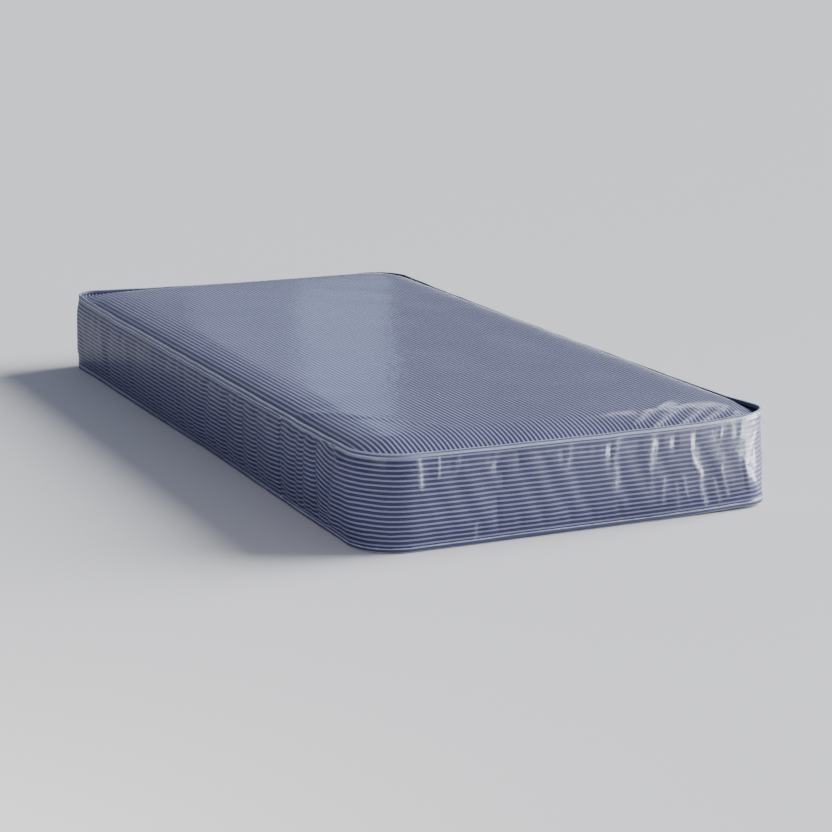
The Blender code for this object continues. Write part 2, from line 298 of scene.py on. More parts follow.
class Shader:
    """A small helper that adds and links a material's nodes."""

    def __init__(self, name):
        self.material = bpy.data.materials.new(name)
        self.material.use_nodes = True
        self.tree = self.material.node_tree
        self.surface = self.tree.nodes["Principled BSDF"]

    def node(self, kind, settings=None, **inputs):
        made = self.tree.nodes.new(kind)
        for key, value in (settings or {}).items():
            setattr(made, key, value)
        for key, value in inputs.items():
            self.put(made, key.replace("_", " "), value)
        return made

    def put(self, node, key, value):
        socket = node.inputs[int(key) if key.isdigit() else key]
        if isinstance(value, bpy.types.NodeSocket):
            self.tree.links.new(value, socket)
        else:
            socket.default_value = value

    def math(self, operation, first, second=0.0, third=0.0):
        made = self.tree.nodes.new("ShaderNodeMath")
        made.operation = operation
        for index, value in enumerate((first, second, third)):
            self.put(made, str(index), value)
        return made.outputs[0]

    def times(self, first, second):
        return self.math("MULTIPLY", first, second)

    def minus(self, first, second):
        return self.math("SUBTRACT", first, second)

    def step(self, value, low, high, to_low=0.0, to_high=1.0):
        made = self.node("ShaderNodeMapRange", {"interpolation_type": "SMOOTHSTEP"})
        for key, item in zip("01234", (value, low, high, to_low, to_high)):
            self.put(made, key, item)
        return made.outputs[0]

    def mix(self, share, first, second, blend="MIX"):
        made = self.tree.nodes.new("ShaderNodeMix")
        made.data_type = "RGBA"
        made.blend_type = blend
        for key, item in (("0", share), ("6", first), ("7", second)):
            self.put(made, key, item)
        return made.outputs[2]

    def noise(self, vector, scale, detail=3.0, roughness=0.5):
        inputs = dict(Vector=vector, Scale=scale, Detail=detail, Roughness=roughness)
        return self.node("ShaderNodeTexNoise", **inputs).outputs["Fac"]

    def bump(self, height, distance):
        made = self.node("ShaderNodeBump", Height=height, Distance=distance, Strength=1.0)
        return made.outputs["Normal"]

    def place(self):
        """The point on the object, in metres."""
        return self.node("ShaderNodeTexCoord").outputs["Object"]

    def ticking_place(self):
        """The ticking coordinates: across the stripes, and along them."""
        uv = self.node("ShaderNodeUVMap", {"uv_map": "ticking"}).outputs["UV"]
        parts = self.node("ShaderNodeSeparateXYZ", Vector=uv)
        return parts.outputs["X"], parts.outputs["Y"]

    def finish(self, **values):
        for key, value in values.items():
            self.put(self.surface, key.replace("_", " "), value)
        return self.material


def rgba(colour, scale=1.0):
    return (*[part * scale for part in colour], 1.0)


def ticking_material(name, coat=1.0, pale=PALE):
    """Wipe-clean ticking: pale lines woven into navy, under a thin glossy coating."""
    shader = Shader(name)
    place = shader.place()
    across, along = shader.ticking_place()

    ragged = shader.noise(place, 900.0, 2.0)
    jitter = shader.times(shader.minus(ragged, 0.5), 0.10)
    turns = shader.times(across, 1 / STRIPE_PITCH)
    wave = shader.math("PINGPONG", shader.math("ADD", turns, jitter), 0.5)
    edge = 0.5 - LIGHT_SHARE / 2
    line = shader.step(wave, edge - 0.055, edge + 0.055)

    yarn = 2 * math.pi / YARN_PITCH
    weft = shader.math("SINE", shader.times(along, yarn))
    warp = shader.math("SINE", shader.times(across, yarn))
    weave = shader.times(weft, warp)
    fleck = shader.noise(place, 420.0, 4.0, 0.65)
    cloud = shader.noise(place, 7.0, 3.0)

    dark = shader.mix(shader.step(fleck, 0.35, 0.75), rgba(NAVY), rgba(NAVY, 1.5))
    light = shader.mix(shader.step(fleck, 0.30, 0.70), rgba(pale, 0.84), rgba(pale))
    colour = shader.mix(line, dark, light)
    shade = shader.step(cloud, 0.3, 0.7, 0.92, 1.06)
    woven = shader.math("MULTIPLY_ADD", weave, 0.05, shade)
    tone = shader.node("ShaderNodeCombineColor", Red=woven, Green=woven, Blue=woven).outputs[0]
    colour = shader.mix(1.0, colour, tone, "MULTIPLY")

    # Painted highlight: the colour is lightened along the sharp creases and tucks, in broken patches and
    # most of all on the pale lines, standing for the coating's glints.
    glint_mask = shader.node("ShaderNodeAttribute", {"attribute_name": "crease"}).outputs["Fac"]
    broken = shader.step(shader.noise(place, 240.0, 3.0, 0.7), 0.38, 0.62, 0.25, 1.0)
    broken = shader.times(broken, shader.math("MULTIPLY_ADD", line, 0.40, 0.60))
    colour = shader.mix(shader.times(glint_mask, broken), colour, rgba(PAINTED_HIGHLIGHT))

    ridge = shader.math("MULTIPLY_ADD", line, 0.5, shader.times(weave, 0.25))
    return shader.finish(
        Base_Color=colour,
        Roughness=shader.step(cloud, 0.3, 0.7, 0.45, 0.55),
        Normal=shader.bump(ridge, 0.00012),
        Specular_IOR_Level=0.08,
        Coat_Weight=coat,
        Coat_Roughness=0.15,
        Coat_IOR=1.55,
        Coat_Normal=shader.bump(shader.noise(place, 55.0, 2.0), 0.0005),
    )


# The tape's woven lines, as places across it from its outer edge.
TAPE_LINE = 0.0092
TWIN_LINES = (0.0048, 0.0122)
TAPE_FOLD = 0.0175
RIB_PITCH = 0.0012


def tape_material():
    """Woven binding: pale with a dark inner half, and one dark line along its outer face.

    The top tape shows two thinner lines over the foot, and the base tape a wider one.
    """
    shader = Shader("binding_tape")
    place = shader.place()
    across, along = shader.ticking_place()

    def near(centre):
        return shader.math("ABSOLUTE", shader.minus(across, centre))

    start = shader.step(along, 0.38, 0.56)
    height = shader.node("ShaderNodeSeparateXYZ", Vector=place).outputs["Z"]
    top = shader.step(height, 0.08, 0.12)
    base = shader.minus(1.0, top)
    top_end = shader.times(top, shader.step(along, 1.20, 1.36, 1.0, 0.0))
    base_end = shader.times(base, shader.step(along, 0.86, 1.12, 1.0, 0.0))
    top_foot = shader.times(start, top_end)
    base_foot = shader.times(start, base_end)

    uneven = shader.step(shader.noise(place, 9.0, 2.0), 0.3, 0.7, 0.0019, 0.0027)
    half_line = shader.math("MULTIPLY_ADD", base_foot, 0.0012, uneven)
    line = shader.step(shader.minus(near(TAPE_LINE), half_line), -0.0004, 0.0004, 1.0, 0.0)
    low, high = TWIN_LINES
    away = shader.math("ABSOLUTE", shader.minus(near((low + high) / 2), (high - low) / 2))
    twins = shader.step(away, 0.0011, 0.0016, 1.0, 0.0)
    line = shader.math("MULTIPLY_ADD", top_foot, shader.minus(twins, line), line)

    # The outer edge, next to the border, is drawn dark, and wider along the base tape at the foot.
    turned = shader.math("MULTIPLY_ADD", base_foot, 0.0022, 0.0010)
    edge = shader.step(shader.minus(across, turned), -0.0003, 0.0004, 1.0, 0.0)
    inner = shader.step(across, TAPE_FOLD - 0.0007, TAPE_FOLD + 0.0007, 0.0, 0.88)
    dark = shader.math("MAXIMUM", line, shader.math("MAXIMUM", edge, inner))

    rib = shader.math("SINE", shader.times(along, 2 * math.pi / RIB_PITCH))
    yarn = shader.noise(place, 700.0, 3.0, 0.6)
    pale = shader.mix(yarn, rgba((0.255, 0.280, 0.400)), rgba((0.340, 0.365, 0.500)))
    navy = shader.mix(yarn, rgba((0.030, 0.035, 0.080)), rgba((0.062, 0.070, 0.135)))
    depth = shader.math("MULTIPLY_ADD", rib, 0.5, yarn)
    return shader.finish(
        Base_Color=shader.mix(dark, pale, navy),
        Roughness=0.50,
        Normal=shader.bump(depth, 0.00009),
        Specular_IOR_Level=0.1,
        Coat_Weight=0.25,
        Coat_Roughness=0.25,
    )


def thread_material():
    """Twisted sewing thread."""
    shader = Shader("sewing_thread")
    ply = shader.noise(shader.place(), 1800.0, 2.0)
    colour = shader.mix(ply, rgba((0.05, 0.06, 0.12)), rgba((0.16, 0.18, 0.28)))
    return shader.finish(Base_Color=colour, Roughness=0.55, Normal=shader.bump(ply, 0.0002))


def fibre_material(name, colour, scale, bump_depth, roughness):
    """Felted or woven fibre of one colour: long flecks over soft clouds."""
    shader = Shader(name)
    place = shader.place()
    fibre = shader.noise(place, scale, 5.0, 0.7)
    cloud = shader.noise(place, scale / 18, 2.0)
    dark = rgba(colour, 0.72)
    mixed = shader.mix(shader.step(fibre, 0.3, 0.7), dark, rgba(colour))
    mixed = shader.mix(shader.step(cloud, 0.35, 0.75, 0.0, 0.25), mixed, dark)
    depth = shader.bump(fibre, bump_depth)
    return shader.finish(Base_Color=mixed, Roughness=roughness, Normal=depth, Sheen_Weight=0.15)


def foam_material(name, colour, cell):
    """Open-cell foam: small pores painted darker, as painted shade in their hollows, over a slightly mottled
    body.
    """
    shader = Shader(name)
    place = shader.place()
    pores = shader.node("ShaderNodeTexVoronoi", Vector=place, Scale=1 / cell).outputs["Distance"]
    cloud = shader.noise(place, 14.0, 3.0)
    dark = rgba(colour, 0.62)
    # Painted shade: the pores' hollows are darkened in the colour.
    mixed = shader.mix(shader.step(pores, 0.05, 0.45), dark, rgba(colour))
    mixed = shader.mix(shader.step(cloud, 0.3, 0.8, 0.0, 0.18), mixed, dark)
    depth = shader.bump(pores, cell / 2)
    return shader.finish(Base_Color=mixed, Roughness=0.90, Normal=depth, Sheen_Weight=0.05)


# -------- border

BORDER_CELLS = 40
JOIN_DRIFT = 0.45 * STRIPE_PITCH
JOIN_GAP = 0.0002

# Spacing of the border's columns, as (end of the stretch, spacing), from the join round to the join.
BORDER_SPACING = (
    (rim_distance(-INNER[0] - 0.05, -RIM[1]), 0.0028),
    (rim_distance(RIM[0], -INNER[1] + 0.02), 0.0016),
    (rim_distance(-RIM[0], 0.10), 0.0070),
    (RIM_LENGTH, 0.0040),
)

# Vertical valleys (and ridges between them) in the left side: place along Y, half width,
# depth (outwards is positive), slant from bottom to top, low and high end as shares of the height,
# and how far the stripes are drawn down beside it.
LEFT_RIPPLES = (
    (0.640, 0.030, -0.00116, 0.010, 0.20, 0.80, 0.00000),
    (0.420, 0.034, -0.00145, -0.012, 0.15, 0.80, 0.00024),
    (0.210, 0.026, -0.00145, 0.014, 0.15, 0.85, 0.00024),
    (0.080, 0.022, -0.00174, 0.010, 0.15, 0.85, 0.00036),
    (-0.055, 0.024, -0.00377, 0.055, 0.12, 0.88, 0.00072),
    (-0.115, 0.026, 0.00145, 0.020, 0.10, 0.90, 0.00000),
    (-0.190, 0.019, -0.00348, 0.006, 0.10, 0.90, 0.00072),
    (-0.240, 0.022, 0.00145, 0.000, 0.10, 0.90, 0.00000),
    (-0.291, 0.017, -0.00377, 0.006, 0.10, 0.92, 0.00084),
    (-0.336, 0.020, 0.00145, 0.000, 0.10, 0.90, 0.00000),
    (-0.379, 0.013, -0.00290, -0.004, 0.18, 0.90, 0.00060),
    (-0.450, 0.026, 0.00145, 0.000, 0.10, 0.90, 0.00000),
    (-0.562, 0.018, 0.00203, 0.000, 0.12, 0.92, -0.00072),
    (-0.596, 0.013, -0.00319, 0.004, 0.15, 0.92, 0.00072),
    (-0.634, 0.012, -0.00464, 0.008, 0.12, 0.93, 0.00180),
    (-0.665, 0.016, 0.00261, 0.004, 0.12, 0.93, 0.00000),
    (-0.700, 0.012, -0.00493, -0.010, 0.10, 0.94, 0.00192),
)

# A small pucker in the left side, and the big fold beside the near left corner.
PUCKER = dict(y=-0.382, share=0.43, width=0.006, height=0.07, depth=-0.0020)
FOLD = dict(bottom=-0.752, top=-0.784, start=0.085, end=0.010, depth=-0.0060, drawn=0.015)

# Sharp creases in the foot end: heights (as shares) and places along X of the points that they
# pass through, then half width, height, and how strongly a highlight is painted along the crease.
FOOT_CREASES = (
    (((0.95, -0.3400), (0.80, -0.3405), (0.68, -0.3400)), 0.0030, 0.0016, 0.95),
    (((0.92, -0.2990), (0.78, -0.3035)), 0.0018, 0.0010, 0.80),
    (((0.94, -0.2560), (0.80, -0.2700)), 0.0040, 0.0006, 0.25),
    (((0.94, -0.1760), (0.78, -0.1960)), 0.0046, 0.0007, 0.20),
    (((0.93, -0.0220), (0.69, -0.0330)), 0.0050, 0.0008, 0.30),
    (((0.96, 0.0850), (0.84, 0.0740), (0.66, 0.0740), (0.54, 0.0810), (0.42, 0.0730)), 0.0050, 0.0014, 0.60),
    (((0.92, 0.1590), (0.78, 0.1530), (0.60, 0.1535)), 0.0045, 0.0014, 0.60),
    (((0.60, 0.1535), (0.34, 0.1545)), 0.0050, 0.0010, 0.25),
    (((0.80, 0.2440), (0.64, 0.2480), (0.56, 0.2600)), 0.0030, 0.0013, 0.50),
    (((0.60, 0.2480), (0.50, 0.2680), (0.44, 0.2700), (0.30, 0.2620), (0.12, 0.2660)), 0.0036, 0.0015, 0.80),
    (((0.92, 0.3110), (0.85, 0.3120)), 0.0018, 0.0010, 0.60),
    (((0.44, 0.3160), (0.18, 0.3190)), 0.0034, 0.0012, 0.50),
    (((0.42, 0.1830), (0.22, 0.1730)), 0.0034, 0.0011, 0.38),
    (((0.42, 0.2275), (0.26, 0.2290)), 0.0030, 0.0010, 0.40),
    (((0.38, 0.2090), (0.12, 0.2060)), 0.0034, 0.0007, 0.22),
    (((0.36, 0.2950), (0.12, 0.2980)), 0.0030, 0.0008, 0.28),
    (((0.20, -0.2280), (0.08, -0.2300)), 0.0026, 0.0008, 0.35),
)


def fold_in_left(distance, share):
    """Outward offset and downward draw of the big fold: a slow slope in, then a sharp way out."""
    line = rim_distance(-RIM[0], FOLD["bottom"])
    top = rim_distance(-RIM[0], FOLD["top"])
    line = line + (top - line) * smooth(share, 0.0, 0.9)
    past = distance - line
    way_in = smooth(past, -FOLD["start"], 0.0) * (past <= 0)
    way_out = (1 - smooth(past, 0.0, FOLD["end"])) * (past > 0)
    ends = band(share, 0.16, 0.88, 0.14)
    depth = FOLD["depth"] * (way_in**3 + (1 - smooth(past, 0.0, 2 * FOLD["end"])) * (past > 0))
    shoulder = 0.0050 * bump(past - 0.040, 0.024)
    drawn = FOLD["drawn"] * (way_in**1.5 + way_out)
    return (depth + shoulder) * ends, drawn * band(share, 0.30, 0.86, 0.28)


def foot_creases(distance, share):
    """The profile of each crease in the foot, with its height and the strength of the highlight painted
    along it.
    """
    for points, width, height, pale in FOOT_CREASES:
        shares, places = np.array(sorted(points)).T
        shifts = (-0.06, -0.02, 0.02, 0.06)
        centre = FOOT_MIDDLE + sum(np.interp(share + shift, shares, places) for shift in shifts) / 4
        centre = centre + 0.0016 * wobble(share, (0.08, 0.15, 0.045), int(1000 + 1000 * places[0]))
        ends = band(share, shares[0], shares[-1], 0.07)
        ends = ends * (0.75 + 0.25 * wobble(share, (0.09, 0.14), int(2000 + 1000 * places[0])))
        yield np.exp(-np.abs((distance - centre) / (1.35 * width)) ** 1.8) * ends, height, pale


def border_shape(distance, share):
    """Outward offset, height and downward draw of the cloth, at distances and shares of the height."""
    full = np.clip(1 - np.abs(2 * share - 1) ** 2.3, 0, 1) ** 0.85
    arch = np.sin(share * math.pi)
    soft = 0.0009 * wobble(distance, (0.093, 0.161, 0.227), 21, RIM_LENGTH)
    soft = soft + 0.0006 * wobble(distance + 0.08 * share, (0.066, 0.049), 22, RIM_LENGTH)
    relief = soft * (1 - 0.9 * bump(around(distance, NEAR_RIGHT), 0.075)) * arch
    drawn = 0.0004 * wobble(distance, (0.21, 0.13, 0.083), 23, RIM_LENGTH) * arch

    for y, width, depth, slant, low, high, draw in LEFT_RIPPLES:
        offset = around(distance, rim_distance(-RIM[0], y) + slant * (share - 0.5))
        ends = band(share, low, high, 0.12)
        relief = relief + depth * bump(offset, width) * ends
        drawn = drawn + draw * bump(offset + 0.9 * width, width) * ends

    offset = around(distance, rim_distance(-RIM[0], PUCKER["y"]))
    spot = bump(offset, PUCKER["width"]) * bump(share - PUCKER["share"], PUCKER["height"])
    fold, fold_draw = fold_in_left(distance, share)
    relief = relief + PUCKER["depth"] * spot + fold
    drawn = drawn + fold_draw
    for profile, height, _ in foot_creases(distance, share):
        relief = relief + height * profile

    # The near right corner is stuffed fuller below its middle, so that its upper half faces up.
    outward = full * BULGE * (1.10 + 0.10 * wobble(distance, (0.9, 0.37), 11, RIM_LENGTH))
    outward = outward + 0.0010 * full * corner_peak(distance)
    offset = distance - (NEAR_RIGHT - 0.052)
    outward = outward + 0.0025 * band(offset, 0.0, 0.095, 0.012) * bump(share - 0.30, 0.36) * full

    # The relief dies out where the tapes hold the cloth, and the strip turns in at its join.
    outward = outward + relief * band(share, 0.135, 0.865, 0.055)
    to_join = np.minimum(distance, RIM_LENGTH - distance)
    outward = outward - 0.0022 * np.exp(-to_join / 0.0022)
    outward = outward + lean(distance, share) * (1 - 0.8 * arch)
    height = BORDER_BOTTOM + (BORDER_TOP - BORDER_BOTTOM) * share
    height = height + top_lift(distance) * share + base_lift(distance) * (1 - share)
    return outward, height, drawn


SETTLE_FRAMES = 20
SETTLE_CAP = 0.0030
BORDER_GRID = (460, 17)
CLOTH = dict(
    quality=5,
    mass=0.30,
    tension_stiffness=20,
    compression_stiffness=20,
    shear_stiffness=8,
    bending_stiffness=0.6,
    use_pressure=True,
    uniform_pressure_force=4.0,
)


def settle(points, excess):
    """How far a sheet, held at its edges, swells and slackens: cloth simulated on a coarse grid."""
    rows, columns = points.shape[:2]
    sheet = grid_piece("settling", points, np.zeros((rows, columns, 2)), None)
    edge = np.ones((rows, columns), bool)
    edge[1:-1, 1:-1] = False
    held = sheet.vertex_groups.new(name="held")
    held.add(np.flatnonzero(edge.ravel()).tolist(), 1.0, "REPLACE")
    cloth = sheet.modifiers.new("settle", "CLOTH")
    for setting, value in CLOTH.items():
        setattr(cloth.settings, setting, value)
    cloth.settings.shrink_min = -excess
    cloth.settings.shrink_max = -excess
    cloth.settings.vertex_group_mass = "held"
    cloth.settings.effector_weights.gravity = 0
    cloth.point_cache.frame_start = 1
    cloth.point_cache.frame_end = SETTLE_FRAMES
    stage = bpy.context.scene
    for step in range(1, SETTLE_FRAMES + 1):
        stage.frame_set(step)
    settled = sheet.evaluated_get(bpy.context.evaluated_depsgraph_get()).to_mesh()
    moved = np.empty(points.size, np.float32)
    settled.vertices.foreach_get("co", moved)
    moved = moved.reshape(points.shape) - points
    mesh = sheet.data
    bpy.data.objects.remove(sheet)
    bpy.data.meshes.remove(mesh)
    stage.frame_set(1)
    length = np.linalg.norm(moved, axis=-1, keepdims=True)
    return moved * SETTLE_CAP * np.tanh(length / SETTLE_CAP) / np.maximum(length, 1e-9)


def sample(values, across, along):
    """Values of a (rows, columns, n) grid at shares, from 0 to 1, of its two sides."""
    rows = np.clip(across * (values.shape[0] - 1), 0, values.shape[0] - 1.001)
    columns = np.clip(along * (values.shape[1] - 1), 0, values.shape[1] - 1.001)
    row, column = rows.astype(int), columns.astype(int)
    down, right = (rows - row)[..., None], (columns - column)[..., None]
    before = values[row, column] * (1 - right) + values[row, column + 1] * right
    after = values[row + 1, column] * (1 - right) + values[row + 1, column + 1] * right
    return before * (1 - down) + after * down


def settle_border():
    """How far the border's cloth settles outwards and up, over distances and shares of the height."""
    distances = np.linspace(JOIN_GAP, RIM_LENGTH - JOIN_GAP, BORDER_GRID[0])
    distance, share = np.meshgrid(distances, np.linspace(0, 1, BORDER_GRID[1]), indexing="ij")
    outward, height, _ = border_shape(distance, share)
    points, normals = rim(distance, share)
    moved = settle(spread(points, normals, outward, height), 0.012)
    outwards = np.clip((moved[..., :2] * normals).sum(-1), -0.0010, SETTLE_CAP)
    free = band(share, 0.17, 0.83, 0.08)
    return np.stack([outwards * free, moved[..., 2] * free], -1)


def border_columns():
    """Distances of the border's columns, close together where its creases are fine."""
    columns = [np.array([JOIN_GAP])]
    for end, spacing in BORDER_SPACING:
        start = columns[-1][-1]
        end = min(end, RIM_LENGTH - JOIN_GAP)
        count = max(2, math.ceil((end - start) / spacing))
        columns.append(np.linspace(start, end, count + 1)[1:])
    return np.concatenate(columns)


BORDER_SETTLED = settle_border()


def build_border(material):
    """The one strip of ticking that goes round the sides, open at its join."""
    shares = np.linspace(0, 1, BORDER_CELLS + 1)
    distance, share = np.meshgrid(border_columns(), shares, indexing="ij")
    outward, height, drawn = border_shape(distance, share)
    settled = sample(BORDER_SETTLED, distance / RIM_LENGTH, share)
    points, normals = rim(distance, share)
    shape = spread(points, normals, outward + settled[..., 0], height + settled[..., 1])
    across = share * (BORDER_TOP - BORDER_BOTTOM) + JOIN_DRIFT * distance / RIM_LENGTH + drawn
    piece = grid_piece("border_strip", shape, np.stack([across, distance], -1), material)
    # Painted highlight along the foot's creases.
    mark(piece, sum(profile * pale for profile, _, pale in foot_creases(distance, share)))
    return piece


def build_wadding(material):
    """The roll of wadding behind the border, open where the border's join is sewn."""
    join = 0.011
    heights = np.linspace(wadding_low.z, wadding_high.z, 15)
    shares = (heights - BORDER_BOTTOM) / (BORDER_TOP - BORDER_BOTTOM)
    distance, share = np.meshgrid(np.arange(join, RIM_LENGTH - join, 0.008), shares, indexing="ij")
    outward = border_shape(distance, share)[0]
    outward = outward + sample(BORDER_SETTLED, distance / RIM_LENGTH, share)[..., 0]
    outer, normals = rim(distance, share)
    outer = outer + normals * (outward - TICKING - 0.0008)[..., None]
    inner, normals = outline(place_of(distance), RIM, PLAIN_RADII)
    inner = inner + normals * (BARRIER_FACE - RIM[0] + GAP)
    thick = ((outer - inner) * normals).sum(-1)
    outer = outer + normals * np.maximum(0.0004 - thick, 0)[..., None]
    ring = np.concatenate([outer, inner[:, ::-1]], 1)
    height = np.concatenate([heights, heights[::-1]])[None, :, None] + 0 * ring[..., :1]
    shape = np.concatenate([ring, height], -1)
    uvs = np.zeros((shape.shape[0], shape.shape[1] + 1, 2))
    return grid_piece("border_wadding_roll", shape, uvs, material, wrap_columns=True, capped=True)


# -------- panels

PANEL_RINGS = (0, 0.002, 0.004, 0.0065, 0.0095, 0.013, 0.017, 0.022, 0.028, 0.035, 0.044, 0.054, 0.066)
CELL = 0.0092
CORNER_CELLS = 18
CROWN_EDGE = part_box("top_panel")[0].z + 0.0002
CROWN_RISE = 0.0265


class PanelGrid:
    """A rounded rectangle as a middle grid, four side strips and four fans round the corners."""

    def __init__(self, inset, radii, cell=CELL, rings=PANEL_RINGS):
        self.columns = max(2, round(2 * INNER[0] / cell))
        self.rows = max(2, round(2 * INNER[1] / cell))
        insets = [inset + ring for ring in rings]
        xs = np.linspace(-INNER[0], INNER[0], self.columns + 1)
        ys = np.linspace(-INNER[1], INNER[1], self.rows + 1)
        sides = (
            [(i, 0) for i in range(self.columns + 1)],
            [(self.columns, j) for j in range(self.rows + 1)],
            [(i, self.rows) for i in range(self.columns, -1, -1)],
            [(0, j) for j in range(self.rows, -1, -1)],
        )
        self.stations = []
        places = []
        for index, nodes in enumerate(sides):
            self.stations += nodes + [nodes[-1]] * (CORNER_CELLS - 1)
            places.append(2 * index + np.linspace(0, 1, len(nodes)) * (1 - 1e-9))
            places.append(2 * index + 1 + np.arange(1, CORNER_CELLS) / CORNER_CELLS)
        places = np.concatenate(places)
        self.distance = distance_of(places)
        loops = []
        for depth in insets:
            ring_radii = radii + (CORNER_RADIUS - radii) * smooth(depth, 0, CORNER_RADIUS)
            loop, normal = outline(places, RIM - depth, ring_radii - depth)
            loops.append((loop, normal * (1 - smooth(depth, 0, 0.07))))
        middle = np.array([(x, y) for y in ys for x in xs])
        self.flat = np.concatenate([loop for loop, _ in loops] + [middle])
        self.push = np.concatenate([push for _, push in loops] + [0 * middle])
        self.rings = len(insets)
        within = INNER - np.abs(middle)
        middle_inset = CORNER_RADIUS + within.min(1)
        self.inset = np.concatenate([np.repeat(insets, len(places)), middle_inset])
        self.faces = self.make_faces()

    def follow(self, lean_of, lift_of):
        """Move the outer rings with the rim, and return how far each point is lifted."""
        moved = np.tile(lean_of(self.distance), self.rings)
        lifted = np.tile(lift_of(self.distance), self.rings)
        rest = len(self.flat) - len(moved)
        self.flat = self.flat + self.push * np.concatenate([moved, np.zeros(rest)])[:, None]
        lifted = np.concatenate([lifted, np.zeros(rest)])
        return lifted * (1 - smooth(self.inset, 0, 0.05))

    def node(self, column, row):
        return self.rings * len(self.stations) + row * (self.columns + 1) + column

    def make_faces(self):
        count = len(self.stations)
        rings = np.arange(self.rings * count).reshape(self.rings, count)
        rings = np.vstack([rings, [self.node(*station) for station in self.stations]])
        after = np.roll(rings, -1, axis=1)
        around = np.stack([rings[:-1], after[:-1], after[1:], rings[1:]], -1).reshape(-1, 4)
        low = self.node(*np.meshgrid(np.arange(self.columns), np.arange(self.rows)))
        high = low + self.columns + 1
        middle = np.stack([low, low + 1, high + 1, high], -1).reshape(-1, 4)
        return [list(dict.fromkeys(face)) for face in np.vstack([around, middle]).tolist()]


def crown(x, y, inset):
    """Height of the top panel's outer face: a steep roll at the tape, then nearly flat."""
    depth = inset - PANEL_INSET
    corner = smooth(np.abs(x), RIM[0] - 0.16, RIM[0]) * smooth(np.abs(y), RIM[1] - 0.16, RIM[1])
    reach = 0.023 + 0.009 * smooth(-y, RIM[1] - 0.13, RIM[1] - 0.02)
    reach = reach + 0.017 * smooth(y, RIM[1] - 0.16, RIM[1] - 0.02)
    reach = np.minimum(reach + 0.016 * corner, 0.041)
    height = CROWN_EDGE + CROWN_RISE * (1 - np.exp(-depth / reach))
    height = height + 0.0030 * (1 - (x / RIM[0]) ** 2) * (1 - (y / RIM[1]) ** 4)

    # It is stuffed fuller along the right side.
    fuller = smooth(x, 0.28, 0.43) * (1 - smooth(np.abs(y), 0.78, 0.92))
    height = height + 0.0028 * fuller * (1 - np.exp(-depth / 0.012))
    soft = wobble(x + 0.3 * y, (0.31, 0.19), 31) * wobble(y - 0.2 * x, (0.43, 0.27), 32)
    return height + 0.0007 * soft * smooth(depth, 0.0, 0.05)


# Tucks in the top panel: start along X and Y, heading in degrees, half width, height, length, and
# how strongly a highlight is painted along it. The last is the soft shoulder by the near left corner.
TUCKS = (
    (0.156, -0.903, 34.0, 0.0085, 0.0030, 0.125, 0.80),
    (0.176, -0.930, 32.0, 0.0080, 0.0030, 0.125, 0.80),
    (0.228, -0.936, 30.0, 0.0080, 0.0028, 0.115, 0.80),
    (0.268, -0.938, 26.0, 0.0075, 0.0026, 0.095, 0.80),
    (0.320, -0.938, 22.0, 0.0065, 0.0020, 0.070, 0.80),
    (-0.420, -0.570, -54.0, 0.0130, 0.0018, 0.290, 0.0),
)


def tucks(x, y):
    """Extra height of the top panel's tucks, and how strongly a highlight is painted along them."""
    raised = np.zeros_like(x)
    painted_glint = np.zeros_like(x)
    for start_x, start_y, heading, width, height, length, glint_strength in TUCKS:
        cosine = math.cos(math.radians(heading))
        sine = math.sin(math.radians(heading))
        along = (x - start_x) * cosine + (y - start_y) * sine
        aside = (y - start_y) * cosine - (x - start_x) * sine
        raised += height * bump(aside, width) * band(along, 0.0, length, length / 3)
        painted_glint += glint_strength * bump(aside, 0.50 * width) * band(along, 0.01, length, length / 3)
    return raised, painted_glint


PANEL_STEPS = (48, 96)
FLAT_HALF = RIM - 0.035


def settle_top_panel():
    """How far the top panel's cloth settles upwards, over X and Y inside its rolled edge."""
    sides = [np.linspace(-half, half, steps + 1) for half, steps in zip(FLAT_HALF, PANEL_STEPS)]
    x, y = np.meshgrid(*sides, indexing="ij")
    inset = (RIM - np.abs(np.stack([x, y], -1))).min(-1)
    return settle(np.stack([x, y, crown(x, y, inset)], -1), 0.004)[..., 2:]


TOP_SETTLED = settle_top_panel()


def top_settled(x, y, inset):
    """The settled cloth's rise at points of the top panel, fading to nothing at its rolled edge."""
    across, along = ((value / half + 1) / 2 for value, half in zip((x, y), FLAT_HALF))
    return sample(TOP_SETTLED, across, along)[..., 0] * smooth(inset, 0.035, 0.090)


def close_flange(grid, heights, flange_end):
    """The panel's points and faces, with its edge turned away into the tape."""
    points = np.column_stack([grid.flat, heights])
    count = len(grid.stations)
    edge = points[:count].copy()
    edge[:, 2] = flange_end
    first = len(points)
    flange = [[first + k, first + (k + 1) % count, (k + 1) % count, k] for k in range(count)]
    return np.concatenate([points, edge]), flange + grid.faces


def panel_piece(name, points, faces, material):
    """A panel whose ticking coordinates are X and Y, so that its stripes run lengthwise."""
    uvs = points[[index for face in faces for index in face]][:, :2]
    return store(name, points, faces, uvs, material)


def build_top_panel(material):
    """The top panel, with its edge turned up into the tape."""
    grid = PanelGrid(PANEL_INSET, TOP_RADII)
    lifted = grid.follow(lambda distance: lean(distance, 1.0), top_lift)
    x, y = grid.flat.T
    raised, painted_glint = tucks(x, y)
    height = crown(x, y, grid.inset) + raised * smooth(grid.inset, 0.004, 0.02)
    height = height + 0.3 * lifted + top_settled(x, y, grid.inset)
    flange_end = RIM_TOP - TAPE - 2 * GAP + top_lift(grid.distance)
    points, faces = close_flange(grid, height, flange_end)
    piece = panel_piece("top_panel_cover", points, faces, material)
    # Painted highlight along the tucks, faded out towards the tape.
    painted_glint = painted_glint * smooth(grid.inset, 0.006, 0.014)
    mark(piece, np.concatenate([painted_glint, np.zeros(len(points) - len(x))]))
    return piece


